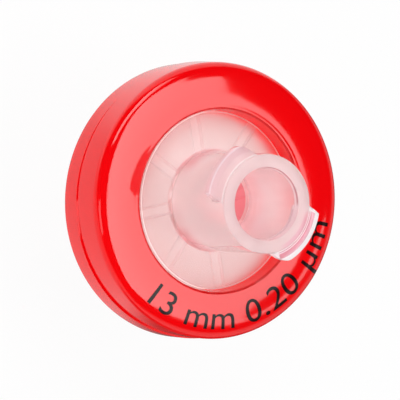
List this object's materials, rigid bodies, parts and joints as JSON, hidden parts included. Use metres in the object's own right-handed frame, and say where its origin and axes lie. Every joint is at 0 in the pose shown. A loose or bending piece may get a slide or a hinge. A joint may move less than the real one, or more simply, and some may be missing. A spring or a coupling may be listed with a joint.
{
  "type": "syringe filter",
  "caption": "Small disc syringe filter: a clamped membrane in a translucent housing with a red moulded rim, a female Luer lock inlet and a male Luer slip outlet.",
  "frame": {"origin": "centre of the outlet tip's end face, which is the bottom of the part", "axes": "+Z along the flow axis from the outlet to the inlet; the lock lugs of the inlet are centred 35 degrees below +X and opposite it"},
  "size_m": [0.017, 0.017, 0.0182],
  "materials": {
    "ring_plastic": "glossy red injection-moulded polypropylene",
    "housing_plastic": "natural translucent polypropylene, smooth, slightly milky",
    "membrane_film": "matt white porous film"
  },
  "bodies": {
    "root": {"overmoulded_ring": "ring_plastic", "inlet_housing": "housing_plastic", "membrane": "membrane_film", "outlet_housing": "housing_plastic"}
  },
  "joints": []
}
